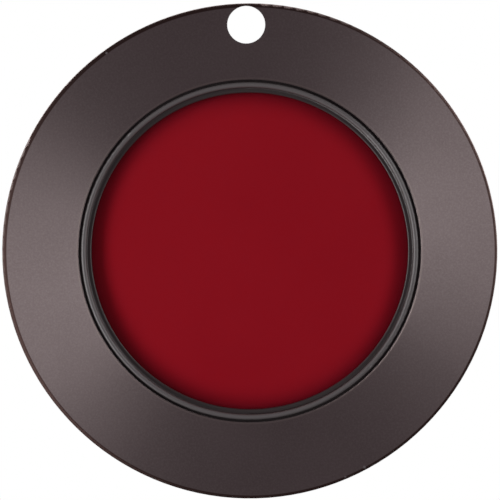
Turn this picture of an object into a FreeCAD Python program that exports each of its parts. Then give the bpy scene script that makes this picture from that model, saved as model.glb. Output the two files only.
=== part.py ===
"""Round darkroom safelight lamp, hung by the hole in its front plate. Millimetres.

The model is built in lamp coordinates and moved once, as it is saved, to the part's own frame:
  x  to the right as the lamp is faced
  y  depth, 0 at the front plate's front face, growing towards the wall
  z  up, 0 on the optical axis
The part's frame is the same, with its origin in the middle of the hanging hole.
"""
import FreeCAD, Part
import math
import os
from FreeCAD import Vector

# ---------------------------------------------------------------- driving dimensions
# front plate
PLATE_R = 101.6            # 8 in across
PLATE_T = 3.0
PLATE_ROUND = 1.2          # rounded front edge
PLATE_BREAK = 0.4          # broken rear edge
HANG_DROP = 92.85          # hanging hole's centre above the optical axis
HANG_R = 7.8

# recess, and the stack that it holds
RECESS_R = 70.3
RECESS_ROUND = 0.5
SEAT_R = 66.0              # clear opening behind the stack
SEAT_T = 2.0
RING_H = 5.0               # retaining ring, front to back
RING_TOP = 0.4             # its bead's crest below the plate's face
RING_BEAD = 1.1            # bead's section radius
RING_BEAD_R = 68.2         # bead's distance from the axis
RING_LAND = 3.1            # depth of the flat land inside the bead
RING_INNER = 65.1
RING_ROUND = 0.5
RING_CLEAR = 0.05          # ring to bore
STACK_GAP = 0.05           # between pieces that come out one after another
DISC_R = 69.85             # 5 1/2 in filter
BINDING_T = 0.25
BINDING_LIP_R = 66.6
GLASS_T = 1.6
GLASS_EDGE = 0.2
GELATIN_T = 0.3
OPAL_T = 2.5
OPAL_EDGE = 0.4
GASKET_T = 1.0
GASKET_CLEAR = 0.2
GASKET_INNER = 66.5

# cell, drum and cover
CELL_R = 77.1
DRUM_GAP = 0.05
DRUM_WALL = 1.0
DRUM_FRONT_GAP = 0.3
DRUM_BACK = 60.0
DRUM_BEND = 2.0            # outside radius of the bend at the rear edge
EDGE_TURN = 2.0            # how far that edge is turned in past its bend
COVER_T = 1.2
COVER_INSET = 2.0
COVER_EDGE = 0.5
CLAMP_IN = 68.0
CLAMP_CLEAR = 1.1
CLAMP_T = 2.0
CLAMP_SCREW_R = 71.0

# M3 fasteners
SHANK_R = 1.5
HOLE_R = 1.7
TAP_R = 1.52
HEAD_R = 2.75
HEAD_H = 1.9
HEAD_OVERLAP = 0.5         # how far a separate shank runs up into its head
NUT_FLATS = 5.5
NUT_H = 2.4
PROUD = 0.6                # a screw's end past its nut
SHORT = 0.2                # a screw's end short of its blind hole
SLOT_W = 0.7
SLOT_DEPTH = 1.1
CELL_THREAD = 2.2          # tapped depth in the plate
DRUM_THREAD = 5.5          # tapped depth in the cell
DRUM_SCREW_DEPTH = 9.0
CLINCH_R = 2.8
CLINCH_H = 1.6
CLINCH_SPIGOT_R = 1.88
TOUCH = 0.02               # keeps two curved faces that touch apart
OVER = 1.0                 # how far a cutting shape runs past the face that it cuts

# cooling vent
VENT_HOLES = 12
VENT_HOLE_R = 3.5
VENT_RING_R = 26.0
VENT_POST_R = 38.0
VENT_CAP_R = 45.0
VENT_STAND = 4.0
VENT_SHEET = 1.0
VENT_SKIRT = 2.4
VENT_BEND = 1.6
SPACER_R = 3.2

# wall bumpers
BUMPER_R = 60.0            # distance from the axis
BUMPER_H = 9.0
BUMPER_FOOT_R = 6.5
BUMPER_FACE_R = 5.6
BUMPER_ROUND = 0.8
BUMPER_SEAT = 3.0          # rubber left under the rivet's head
BUMPER_SEAT_R = 3.1
RIVET_R = 1.45
RIVET_HEAD_R = 2.7
RIVET_HEAD_H = 1.2
RIVET_TAIL_R = 2.5
RIVET_TAIL_H = 1.0

# reflector
REFLECTOR_T = 0.8
REFLECTOR_FLOOR = 53.0
REFLECTOR_FLAT_R = 46.0
REFLECTOR_R = 63.0
REFLECTOR_RIM = 44.0
REFLECTOR_ROLL = 1.4
REFLECTOR_DROP = 0.3
REFLECTOR_CHORD = -43.5
REFLECTOR_POST_R = 40.0
REFLECTOR_THREAD = 4.2
PILLAR_R = 3.2
PILLAR_BORE = 4.6
PILLAR_RIVET_R = 2.8
PILLAR_RIVET_H = 0.9

# chassis
SHEET_T = 1.5
SHELF_TOP = -46.0
SHELF_HALF = 30.0
SHELF_FRONT = 17.0
SHELF_LIP = 4.5
LEG_BOTTOM = -60.0
LEG_SCREW_X = (-22.0, 22.0)
LEG_SCREW_Z = -54.5
HOLDER_OPENING = 6.0
EARTH_X = 8.0
EARTH_Z = -54.5

# bulb, a 28 mm pygmy lamp with a 14 mm threaded cap
BULB_DEPTH = 35.0          # y of its upright axis
BULB_R = 14.0
BULB_TOP = 15.5
BULB_WALL = 0.6
BULB_NECK = 6.2
BULB_WAIST = 2.5
SHOULDER_R = 9.4           # a point on the curve from the neck to the globe
SHOULDER_Z = -8.6
CAP_R = 6.9
CAP_TOP = -17.5
CAP_BOTTOM = -39.0
CAP_WALL = 0.35
CAP_SKIRT = 3.5
CAP_FOOT = 2.0
CAP_FOOT_R = 5.2
TIP_R = 2.2
TIP_BOTTOM = -41.4
THREAD_TURNS = 5
THREAD_PITCH = 2.82
THREAD_DEPTH = 0.3
STEM_R = 4.6
STEM_NECK_R = 1.6
STEM_H = 13.0
SUPPORT_R = 0.22
FILAMENT_R = 0.16
FILAMENT_HALF = 6.0
FILAMENT_Z = 3.0
FILAMENT_ARCH = 1.6
FILAMENT_SWING = 0.7
FILAMENT_STEPS = 10

# lampholder
SHELL_R = 7.7
SHELL_WALL = 0.5
SHELL_TOP = -20.6
SHELL_LEAD = 2.0
HOLDER_TOP = -20.0
HOLDER_FLOOR = -41.0
HOLDER_R = 10.6
HOLDER_FOOT_R = 12.5
HOLDER_STEP_LOW = -26.0
HOLDER_STEP_HIGH = -24.0
HOLDER_ROUND = 1.0
HOLDER_EAR = 16.0          # half the base's length
HOLDER_EAR_HALF = 5.0      # half its width
HOLDER_EAR_H = 4.5
HOLDER_SCREW = 12.0        # screws' distance from the axis
HOLDER_SEAT = 3.0
HOLDER_SEAT_R = 3.2
HOLDER_LEAD_X = (-3.6, 3.6)
HOLDER_LEAD_H = 4.0
POST_R = 2.2
POST_BORE = 3.0
POST_H = 2.0
POST_DROP = 3.6
BLADE_R = 1.3
BLADE_GAP = 0.1

# terminal block
BLOCK_X = -17.5
BLOCK_Y = (23.0, 39.0)
BLOCK_INSET = 1.5
BLOCK_H = 12.0
BLOCK_WEB = 3.0
POLES = 3
POLE_PITCH = 8.0
POLE_DROP = 6.8
BARREL_R = 3.6
BARREL_BORE = 2.2
CHIMNEY_R = 2.6
CHIMNEY_BORE = 1.7
CHIMNEY_INSET = 4.5
INSERT_BORE = 1.3
INSERT_TAP = 1.22
GRUB_R = 1.2
GRUB_L = 2.0
GRUB_HEAD_R = 1.5
GRUB_HEAD_H = 0.9
GRUB_DROP = 2.3

# leads and earth tag
LEAD_R = 1.1
LEAD_IN = 3.0              # how far a lead goes into the block
LEAD_RUN = 9.0
LEAD_UP = 3.5              # how far a lead goes up into the lampholder
TAG_T = 0.8
TAG_R = 3.4
TAG_HALF = 1.5
TAG_BARREL_R = 1.6

# cable gland
GLAND_DEPTH = 32.0
GLAND_R = 8.0
GLAND_BORE = 4.0
GLAND_HEX = 22.0
GLAND_HOLE_CLEAR = 0.2
GLAND_TOP = -70.0
GLAND_TUBE_BORE = 4.6
GLAND_COLLAR = 4.5
GLAND_NOSE_R = 7.4
GLAND_NOSE = 6.5
GLAND_SOCKET_R = 6.0
GLAND_SOCKET = 6.0
GLAND_WASHER_R = 11.5
GLAND_WASHER_T = 1.5
LOCKNUT_FLATS = 20.0
LOCKNUT_H = 5.0
SEAL_R = 5.9
SEAL_L = 7.0
SEAL_DROP = 0.6            # seal's top below the collar
CAP_DROP = 0.2             # cap's top below the collar
CAP_SHELL_R = 10.4
CAP_L = 13.0
CAP_SIDE = 7.0
CAP_CURVE = (9.6, 10.6)
CAP_MOUTH_R = 6.6
CAP_FLATS = 19.6
CAP_SOCKET_R = 7.45
CAP_SOCKET = 7.6
CAP_BORE = 4.2

# switch
SWITCH_ANGLE = -45.0       # round the drum, from +x towards +z
SWITCH_DEPTH = 32.5
SWITCH_LONG = 19.0
SWITCH_WIDE = 13.0
SWITCH_BEZEL = 1.6
SWITCH_BRIM = 1.5          # bezel past the case on every side
SWITCH_CLEAR = 0.1
SWITCH_INNER = 61.0
WELL_WALL = 1.3
WELL_DEPTH = 5.4
ROCKER_PIVOT = 77.4        # pivot's distance from the optical axis
ROCKER_LEAN = 7.0          # degrees each side of level
ROCKER_PIN_R = 0.8
ROCKER_HOLE_R = 0.85
ROCKER_LONG_GAP = 1.75
ROCKER_WIDE_GAP = 1.5
ROCKER_RISE = 0.9          # its ends above the bezel, and its valley's depth
ROCKER_SIDE = 2.2
ROCKER_KEEL = (1.6, 1.8)   # below the pivot, and half the width there
TAB_INNER = 54.0
TAB_APART = 5.0
TAB_HALF = 2.4
TAB_T = 0.8

X = Vector(1, 0, 0)
Y = Vector(0, 1, 0)
Z = Vector(0, 0, 1)
ORIGIN = Vector(0, 0, 0)

# ---------------------------------------------------------------- worked out from the above
CELL_SCREW_R = (RECESS_R + CELL_R) / 2
DRUM_IN = CELL_R + DRUM_GAP
DRUM_OUT = DRUM_IN + DRUM_WALL
FILTER_FRONT = RING_TOP + RING_H + STACK_GAP
GLASS_1 = FILTER_FRONT + BINDING_T
GELATIN = GLASS_1 + GLASS_T
GLASS_2 = GELATIN + GELATIN_T
FILTER_BACK = GLASS_2 + GLASS_T + BINDING_T
OPAL = FILTER_BACK + STACK_GAP
GASKET = OPAL + OPAL_T + STACK_GAP
SEAT = GASKET + GASKET_T
CELL_BACK = SEAT + SEAT_T
COVER_BACK = DRUM_BACK + COVER_T
CLAMP_BACK = DRUM_BACK - DRUM_WALL
VENT_BACK = COVER_BACK + VENT_STAND + VENT_SHEET
REFLECTOR_BACK = REFLECTOR_FLOOR + REFLECTOR_T
SHELF_BOTTOM = SHELF_TOP - SHEET_T
LEG_FRONT = DRUM_BACK - SHEET_T
BULB_AXIS = Vector(0, BULB_DEPTH, 0)
HOLDER_SCREW_Y = (BULB_DEPTH - HOLDER_SCREW, BULB_DEPTH + HOLDER_SCREW)
BLOCK_LOW = SHELF_BOTTOM - BLOCK_H
POLE_Z = SHELF_BOTTOM - POLE_DROP
CHIMNEY_Y = (BLOCK_Y[0] + CHIMNEY_INSET, BLOCK_Y[1] - CHIMNEY_INSET)
GLAND_SHOULDER = -DRUM_OUT - GLAND_WASHER_T
GLAND_COLLAR_LOW = GLAND_SHOULDER - GLAND_COLLAR
TAB_DEPTHS = (SWITCH_DEPTH - TAB_APART, SWITCH_DEPTH + TAB_APART)


# ---------------------------------------------------------------- helpers
def outline(start, *steps):
    """Closed wire in the x-y half plane. A step is an end point, or an arc's mid point and end point."""
    edges = []
    here = Vector(start[0], start[1], 0)
    for step in steps:
        if len(step) == 2:
            end = Vector(step[0], step[1], 0)
            edges.append(Part.LineSegment(here, end).toShape())
        else:
            middle = Vector(step[0], step[1], 0)
            end = Vector(step[2], step[3], 0)
            edges.append(Part.Arc(here, middle, end).toShape())
        here = end
    first = Vector(start[0], start[1], 0)
    if here.distanceToPoint(first) > 1e-6:
        edges.append(Part.LineSegment(here, first).toShape())
    return Part.Wire(edges)


def rounded(corner, radius, arrive, leave):
    """Two steps round a square corner, from the way in to the way out, each a unit direction."""
    bulge = radius * (1 - math.sqrt(0.5))
    x, y = corner
    start = (x - arrive[0] * radius, y - arrive[1] * radius)
    middle = (x + (leave[0] - arrive[0]) * bulge, y + (leave[1] - arrive[1]) * bulge)
    end = (x + leave[0] * radius, y + leave[1] * radius)
    return start, middle + end


def dome(radius, base, top):
    """Arc step from (radius, base) to (0, top), with its centre on the axis."""
    rise = top - base
    sphere = (radius ** 2 + rise ** 2) / (2 * rise)
    middle = math.atan2(radius, abs(sphere - rise)) / 2
    if abs(rise) > radius:
        middle = (math.pi - math.atan2(radius, abs(rise) - abs(sphere))) / 2
    return (abs(sphere) * math.sin(middle), top - sphere + sphere * math.cos(middle), 0, top)


def turned(start, *steps):
    """Solid of revolution about the optical axis, from (radius, depth) points."""
    return Part.Face(outline(start, *steps)).revolve(ORIGIN, Y, 360)


def spun(start, *steps):
    """Solid of revolution about +Z, from (radius, height) points."""
    solid = turned(start, *steps)
    solid.rotate(ORIGIN, X, 90)
    return solid


def about_bulb(start, *steps):
    """Solid of revolution about the bulb's upright axis, from (radius, height) points."""
    solid = spun(start, *steps)
    solid.translate(BULB_AXIS)
    return solid


def washer(outer, inner, front, back):
    return turned((inner, front), (outer, front), (outer, back), (inner, back))


def disc(radius, front, back):
    return Part.makeCylinder(radius, back - front, Vector(0, front, 0), Y)


def pin(radius, height, low=0.0):
    """Round pin along +Z, from a height upwards."""
    return Part.makeCylinder(radius, height, Vector(0, 0, low), Z)


def rod(radius, start, end):
    """Round rod between two points."""
    return Part.makeCylinder(radius, (end - start).Length, start, end - start)


def box(x0, x1, y0, y1, z0, z1):
    return Part.makeBox(x1 - x0, y1 - y0, z1 - z0, Vector(x0, y0, z0))


def drilled(shape, radius, mouths, direction, depth, blind=False):
    """A shape with a round hole from each mouth; only a blind hole ends at its depth."""
    end = depth if blind else depth + OVER
    for mouth in mouths:
        shape = shape.cut(rod(radius, mouth - direction * OVER, mouth + direction * end))
    return shape


def outward(degrees):
    angle = math.radians(degrees)
    return Vector(math.cos(angle), 0, math.sin(angle))


def polar(radius, degrees, depth):
    """Point at an angle round the optical axis."""
    return outward(degrees) * radius + Y * depth


def spread(count, first=0.0):
    return [first + 360.0 * i / count for i in range(count)]


def ring_of(radius, angles, depth):
    return [polar(radius, angle, depth) for angle in angles]


def on_bulb_axis(height, x=0.0):
    return Vector(x, BULB_DEPTH, height)


def facing(shape, point, direction):
    """A shape built along +Z from the origin, turned to a direction and set at a point."""
    placed = shape.copy()
    turn = FreeCAD.Rotation(Z, direction)
    placed.Placement = FreeCAD.Placement(point, turn).multiply(placed.Placement)
    return placed


def at_each(shape, points, direction):
    """One copy of a shape at each point, in one group."""
    return Part.makeCompound([facing(shape, point, direction) for point in points])


def turned_up(shape, degrees):
    """A shape built at +x, turned round the optical axis by an angle towards +z."""
    placed = shape.copy()
    placed.rotate(ORIGIN, Y, -degrees)
    return placed


def pan_screw(length):
    """Cross-recessed pan-head screw: head above the origin, shank down to -length."""
    edge = HEAD_H * 0.45
    tip = 0.4
    head = spun((0, 0), (HEAD_R, 0), (HEAD_R, edge), dome(HEAD_R, edge, HEAD_H))
    shank = spun((0, 0), (SHANK_R, 0), (SHANK_R, tip - length), (SHANK_R - tip, -length), (0, -length))
    screw = head.fuse(shank).removeSplitter()
    reach = HEAD_R * 0.62
    for long_x, long_y in ((reach, SLOT_W / 2), (SLOT_W / 2, reach)):
        screw = screw.cut(box(-long_x, long_x, -long_y, long_y, HEAD_H - SLOT_DEPTH, HEAD_H + OVER))
    return screw


def hex_prism(flats, height):
    """Hexagonal prism up from the origin, with chamfered top corners."""
    corner = flats / 2 / math.cos(math.radians(30))
    points = [Vector(corner * math.cos(math.radians(a)), corner * math.sin(math.radians(a)), 0)
              for a in range(0, 361, 60)]
    prism = Part.Face(Part.makePolygon(points)).extrude(Z * height)
    top = flats / 2 * 0.97
    return prism.common(Part.makeCone(top + height * math.sqrt(3), top, height, ORIGIN, Z))


def hex_nut():
    return hex_prism(NUT_FLATS, NUT_H).cut(pin(TAP_R, NUT_H))


def lead(points):
    """Insulated lead: straight runs joined by tangent arcs, as large as each pair of runs allows."""
    edges = []
    here = points[0]
    for before, corner, after in zip(points, points[1:], points[2:]):
        back = (before - corner).normalize()
        ahead = (after - corner).normalize()
        cut = 0.45 * min((before - corner).Length, (after - corner).Length)
        half = back.getAngle(ahead) / 2
        radius = cut * math.tan(half)
        start = corner + back * cut
        end = corner + ahead * cut
        middle = corner + (back + ahead).normalize() * (cut / math.cos(half) - radius)
        edges.append(Part.LineSegment(here, start).toShape())
        edges.append(Part.Arc(start, middle, end).toShape())
        here = end
    edges.append(Part.LineSegment(here, points[-1]).toShape())
    ring = Part.Wire(Part.Circle(points[0], points[1] - points[0], LEAD_R).toShape())
    return Part.Wire(edges).makePipeShell([ring], True, True)


def save(node, shape):
    """Moves a sub-part to the part's frame and writes it."""
    moved = shape.copy()
    moved.translate(Vector(0, -PLATE_T / 2, -HANG_DROP))
    if not moved.isValid():
        print("not valid:", node)
    moved.exportStep("parts/%s.step" % node)


# ---------------------------------------------------------------- angles of what repeats round the axis
CELL_ANGLES = spread(6, 30)
DRUM_ANGLES = spread(6)
COVER_ANGLES = spread(6, 15)
VENT_ANGLES = spread(3, 30)
REFLECTOR_ANGLES = spread(3, 90)
BUMPER_ANGLES = spread(4, 45)


# ---------------------------------------------------------------- front plate and cell
def front_plate():
    """Flat disc with a rounded rim, the recess in its middle and the hanging hole close to its rim."""
    plate = turned((RECESS_R + RECESS_ROUND, 0), *rounded((PLATE_R, 0), PLATE_ROUND, (1, 0), (0, 1)),
                   (PLATE_R, PLATE_T - PLATE_BREAK), (PLATE_R - PLATE_BREAK, PLATE_T), (RECESS_R, PLATE_T),
                   *rounded((RECESS_R, 0), RECESS_ROUND, (0, -1), (1, 0)))
    plate = drilled(plate, HANG_R, [Z * HANG_DROP], Y, PLATE_T)
    return drilled(plate, TAP_R, ring_of(CELL_SCREW_R, CELL_ANGLES, PLATE_T), -Y, CELL_THREAD, blind=True)


def filter_cell():
    """Ring behind the plate: the rest of the recess wall, the seat and the spigot that the drum fits over."""
    cell = turned((RECESS_R, PLATE_T), (CELL_R, PLATE_T), (CELL_R, CELL_BACK), (SEAT_R, CELL_BACK),
                  (SEAT_R, SEAT), (RECESS_R, SEAT))
    cell = drilled(cell, HOLE_R, ring_of(CELL_SCREW_R, CELL_ANGLES, PLATE_T), Y, CELL_BACK - PLATE_T)
    for angle in DRUM_ANGLES:
        mouth = polar(CELL_R, angle, DRUM_SCREW_DEPTH)
        cell = drilled(cell, TAP_R, [mouth], -outward(angle), DRUM_THREAD, blind=True)
    return cell


def cell_screws():
    screw = pan_screw(CELL_BACK - PLATE_T + CELL_THREAD - SHORT)
    return at_each(screw, ring_of(CELL_SCREW_R, CELL_ANGLES, CELL_BACK), Y)


# ---------------------------------------------------------------- filter stack
def retaining_ring():
    """Moulded ring: a round bead in front, a flat land inside it and a square back."""
    outer = RECESS_R - RING_CLEAR
    back = RING_TOP + RING_H
    bead_depth = RING_TOP + RING_BEAD
    bead_out = RING_BEAD_R + RING_BEAD
    bead_in = RING_BEAD_R - RING_BEAD
    return turned((RING_INNER, back), (outer, back), (outer, RING_LAND), (bead_out, RING_LAND),
                  (bead_out, bead_depth), (RING_BEAD_R, RING_TOP, bead_in, bead_depth),
                  *rounded((bead_in, RING_LAND), RING_ROUND, (0, 1), (-1, 0)),
                  *rounded((RING_INNER, RING_LAND), RING_ROUND, (-1, 0), (0, 1)))


def round_plate(radius, edge, front, thick):
    """Flat disc with both its edges broken."""
    back = front + thick
    return turned((0, front), (radius - edge, front), (radius, front + edge), (radius, back - edge),
                  (radius - edge, back), (0, back))


def filter_glass(front):
    return round_plate(DISC_R - BINDING_T, GLASS_EDGE, front, GLASS_T)


def filter_binding():
    """Channel of tape folded round the edge of the filter's glasses."""
    inner = DISC_R - BINDING_T
    return turned((BINDING_LIP_R, FILTER_FRONT), (DISC_R, FILTER_FRONT), (DISC_R, FILTER_BACK),
                  (BINDING_LIP_R, FILTER_BACK), (BINDING_LIP_R, FILTER_BACK - BINDING_T),
                  (inner, FILTER_BACK - BINDING_T), (inner, GLASS_1), (BINDING_LIP_R, GLASS_1))


def opal_diffuser():
    return round_plate(DISC_R, OPAL_EDGE, OPAL, OPAL_T)


def seat_gasket():
    return washer(RECESS_R - GASKET_CLEAR, GASKET_INNER, GASKET, SEAT)


# ---------------------------------------------------------------- housing
def housing_drum():
    """Sheet drum with its rear edge turned in, holes for its screws and gland, and the switch's slot."""
    front = PLATE_T + DRUM_FRONT_GAP
    lip = DRUM_OUT - DRUM_BEND - EDGE_TURN
    drum = turned((DRUM_IN, front), (DRUM_OUT, front),
                  *rounded((DRUM_OUT, DRUM_BACK), DRUM_BEND, (0, 1), (-1, 0)),
                  (lip, DRUM_BACK), (lip, CLAMP_BACK),
                  *rounded((DRUM_IN, CLAMP_BACK), DRUM_BEND - DRUM_WALL, (1, 0), (0, -1)))
    for angle in DRUM_ANGLES:
        mouth = polar(DRUM_OUT, angle, DRUM_SCREW_DEPTH)
        drum = drilled(drum, HOLE_R, [mouth], -outward(angle), DRUM_WALL)
    drum = drilled(drum, GLAND_R + GLAND_HOLE_CLEAR, [gland_at(-DRUM_OUT)], Z, DRUM_WALL)
    long = SWITCH_LONG / 2 + SWITCH_CLEAR
    wide = SWITCH_WIDE / 2 + SWITCH_CLEAR
    slot = box(DRUM_IN - OVER, DRUM_OUT + OVER, SWITCH_DEPTH - long, SWITCH_DEPTH + long, -wide, wide)
    return drum.cut(turned_up(slot, SWITCH_ANGLE))


def clamp_ring():
    """Flat ring inside the drum: the cover's screws pull it back against the drum's turned-in edge."""
    ring = washer(DRUM_IN - CLAMP_CLEAR, CLAMP_IN, CLAMP_BACK - CLAMP_T, CLAMP_BACK)
    places = ring_of(CLAMP_SCREW_R, COVER_ANGLES, CLAMP_BACK)
    return drilled(ring, CLINCH_SPIGOT_R + TOUCH, places, -Y, CLAMP_T)


def drum_screws():
    """Radial screws through the drum into the cell; each head is dished under to sit on the round wall."""
    head = pan_screw(HEAD_OVERLAP)
    shank = pin(SHANK_R, DRUM_THREAD + HEAD_OVERLAP, -DRUM_THREAD)
    wall = disc(DRUM_OUT + TOUCH, 0, DRUM_BACK)
    whole = []
    for angle in DRUM_ANGLES:
        seat = polar(DRUM_OUT - TOUCH, angle, DRUM_SCREW_DEPTH)
        dished = facing(head, seat, outward(angle)).cut(wall)
        whole.append(dished.fuse(facing(shank, seat, outward(angle))).removeSplitter())
    return Part.makeCompound(whole)


def rear_cover():
    """Flat cover with a ring of cooling holes, and a hole for each thing that is fixed to it."""
    rim = DRUM_OUT - COVER_INSET
    cover = turned((0, DRUM_BACK), (rim, DRUM_BACK), (rim, COVER_BACK - COVER_EDGE),
                   (rim - COVER_EDGE, COVER_BACK), (0, COVER_BACK))
    cover = drilled(cover, VENT_HOLE_R, ring_of(VENT_RING_R, spread(VENT_HOLES), DRUM_BACK), Y, COVER_T)
    places = ring_of(CLAMP_SCREW_R, COVER_ANGLES, DRUM_BACK)
    places += ring_of(VENT_POST_R, VENT_ANGLES, DRUM_BACK)
    places += ring_of(REFLECTOR_POST_R, REFLECTOR_ANGLES, DRUM_BACK)
    places += ring_of(BUMPER_R, BUMPER_ANGLES, DRUM_BACK)
    places += [Vector(x, DRUM_BACK, LEG_SCREW_Z) for x in LEG_SCREW_X]
    return drilled(cover, HOLE_R, places, Y, COVER_T)


def cover_screws():
    screw = pan_screw(COVER_T + DRUM_WALL + CLAMP_T + CLINCH_H)
    return at_each(screw, ring_of(CLAMP_SCREW_R, COVER_ANGLES, COVER_BACK), Y)


def clinch_nuts():
    """Round nuts pressed into the clamp ring, each with a thin spigot in the ring's hole."""
    nut = pin(CLINCH_R, CLINCH_H).fuse(pin(CLINCH_SPIGOT_R, CLAMP_T, CLINCH_H)).removeSplitter()
    nut = nut.cut(pin(TAP_R, CLINCH_H + CLAMP_T))
    return at_each(nut, ring_of(CLAMP_SCREW_R, COVER_ANGLES, CLAMP_BACK - CLAMP_T - CLINCH_H), Y)


# ---------------------------------------------------------------- cooling vent
def vent_cap():
    """Shallow dish over the cooling holes; its skirt hides them and keeps light in."""
    front = VENT_BACK - VENT_SHEET - VENT_SKIRT
    inner_r = VENT_CAP_R - VENT_SHEET
    inner_back = VENT_BACK - VENT_SHEET
    cap = turned((0, VENT_BACK), *rounded((VENT_CAP_R, VENT_BACK), VENT_BEND, (1, 0), (0, -1)),
                 (VENT_CAP_R, front), (inner_r, front),
                 *rounded((inner_r, inner_back), VENT_BEND - VENT_SHEET, (0, 1), (-1, 0)), (0, inner_back))
    return drilled(cap, HOLE_R, ring_of(VENT_POST_R, VENT_ANGLES, inner_back), Y, VENT_SHEET)


def vent_spacers():
    spacer = pin(SPACER_R, VENT_STAND).cut(pin(HOLE_R, VENT_STAND))
    return at_each(spacer, ring_of(VENT_POST_R, VENT_ANGLES, COVER_BACK), Y)


def vent_screws():
    screw = pan_screw(VENT_BACK - DRUM_BACK + NUT_H + PROUD)
    return at_each(screw, ring_of(VENT_POST_R, VENT_ANGLES, VENT_BACK), Y)


def vent_nuts():
    return at_each(hex_nut(), ring_of(VENT_POST_R, VENT_ANGLES, DRUM_BACK), -Y)


# ---------------------------------------------------------------- wall bumpers
def wall_bumpers():
    """Tapered rubber feet, each with a sunk seat for its rivet."""
    foot = spun((0, 0), (BUMPER_FOOT_R, 0),
                *rounded((BUMPER_FACE_R, BUMPER_H), BUMPER_ROUND, (0, 1), (-1, 0)), (0, BUMPER_H))
    foot = foot.cut(pin(HOLE_R, BUMPER_H))
    foot = foot.cut(pin(BUMPER_SEAT_R, BUMPER_H, BUMPER_SEAT))
    return at_each(foot, ring_of(BUMPER_R, BUMPER_ANGLES, COVER_BACK), Y)


def bumper_rivets():
    """Rivet through each bumper, closed over inside the cover."""
    grip = COVER_T + BUMPER_SEAT
    head = spun((0, 0), (RIVET_HEAD_R, 0), dome(RIVET_HEAD_R, 0, RIVET_HEAD_H))
    tail = spun((0, -grip), (RIVET_TAIL_R, -grip), dome(RIVET_TAIL_R, -grip, -grip - RIVET_TAIL_H))
    stem = pin(RIVET_R, grip + 2 * TOUCH, -grip - TOUCH)
    rivet = stem.fuse([head, tail]).removeSplitter()
    return at_each(rivet, ring_of(BUMPER_R, BUMPER_ANGLES, COVER_BACK + BUMPER_SEAT), Y)


# ---------------------------------------------------------------- reflector
def reflector():
    """Dished reflector with a turned-out rim, cut off along a chord where the shelf passes."""
    low = REFLECTOR_RIM - REFLECTOR_DROP
    rim_r = REFLECTOR_R + REFLECTOR_ROLL
    dish = turned((0, REFLECTOR_FLOOR), (REFLECTOR_FLAT_R, REFLECTOR_FLOOR), (REFLECTOR_R, REFLECTOR_RIM),
                  (rim_r, low), (rim_r, low + REFLECTOR_T),
                  (REFLECTOR_R + REFLECTOR_DROP, REFLECTOR_RIM + REFLECTOR_T),
                  (REFLECTOR_FLAT_R, REFLECTOR_BACK), (0, REFLECTOR_BACK))
    dish = dish.cut(box(-DRUM_IN, DRUM_IN, REFLECTOR_RIM - OVER, DRUM_BACK, -DRUM_IN, REFLECTOR_CHORD))
    places = ring_of(REFLECTOR_POST_R, REFLECTOR_ANGLES, REFLECTOR_FLOOR)
    return drilled(dish, HOLE_R, places, Y, REFLECTOR_T)


def reflector_pillars():
    """Tapped pillars, each with a spigot riveted over outside the cover."""
    tall = DRUM_BACK - REFLECTOR_BACK
    closed = tall + COVER_T
    spigot = HOLE_R - TOUCH
    pillar = spun((0, 0), (PILLAR_R, 0), (PILLAR_R, tall), (spigot, tall), (spigot, closed),
                  (PILLAR_RIVET_R, closed), dome(PILLAR_RIVET_R, closed, closed + PILLAR_RIVET_H))
    pillar = pillar.cut(pin(TAP_R, PILLAR_BORE))
    return at_each(pillar, ring_of(REFLECTOR_POST_R, REFLECTOR_ANGLES, REFLECTOR_BACK), Y)


def reflector_screws():
    screw = pan_screw(REFLECTOR_T + REFLECTOR_THREAD)
    return at_each(screw, ring_of(REFLECTOR_POST_R, REFLECTOR_ANGLES, REFLECTOR_FLOOR), -Y)


# ---------------------------------------------------------------- chassis
def chassis():
    """Shelf under the lampholder with a leg down the cover and a lip down its front edge."""
    shelf = box(-SHELF_HALF, SHELF_HALF, SHELF_FRONT, DRUM_BACK, SHELF_BOTTOM, SHELF_TOP)
    leg = box(-SHELF_HALF, SHELF_HALF, LEG_FRONT, DRUM_BACK, LEG_BOTTOM, SHELF_BOTTOM)
    lip = box(-SHELF_HALF, SHELF_HALF, SHELF_FRONT, SHELF_FRONT + SHEET_T, SHELF_BOTTOM - SHELF_LIP,
              SHELF_BOTTOM)
    sheet = shelf.fuse([leg, lip]).removeSplitter()
    sheet = drilled(sheet, HOLE_R, [Vector(x, LEG_FRONT, LEG_SCREW_Z) for x in LEG_SCREW_X], Y, SHEET_T)
    sheet = drilled(sheet, TAP_R, [Vector(EARTH_X, LEG_FRONT, EARTH_Z)], Y, SHEET_T)
    sheet = drilled(sheet, HOLE_R, [Vector(0, y, SHELF_TOP) for y in HOLDER_SCREW_Y], -Z, SHEET_T)
    sheet = drilled(sheet, HOLDER_OPENING, [on_bulb_axis(SHELF_TOP)], -Z, SHEET_T)
    return drilled(sheet, TAP_R, [Vector(BLOCK_X, sum(BLOCK_Y) / 2, SHELF_TOP)], -Z, SHEET_T)


def chassis_screws():
    screw = pan_screw(COVER_T + SHEET_T + NUT_H + PROUD)
    return at_each(screw, [Vector(x, COVER_BACK, LEG_SCREW_Z) for x in LEG_SCREW_X], Y)


def chassis_nuts():
    return at_each(hex_nut(), [Vector(x, LEG_FRONT, LEG_SCREW_Z) for x in LEG_SCREW_X], -Y)


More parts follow.
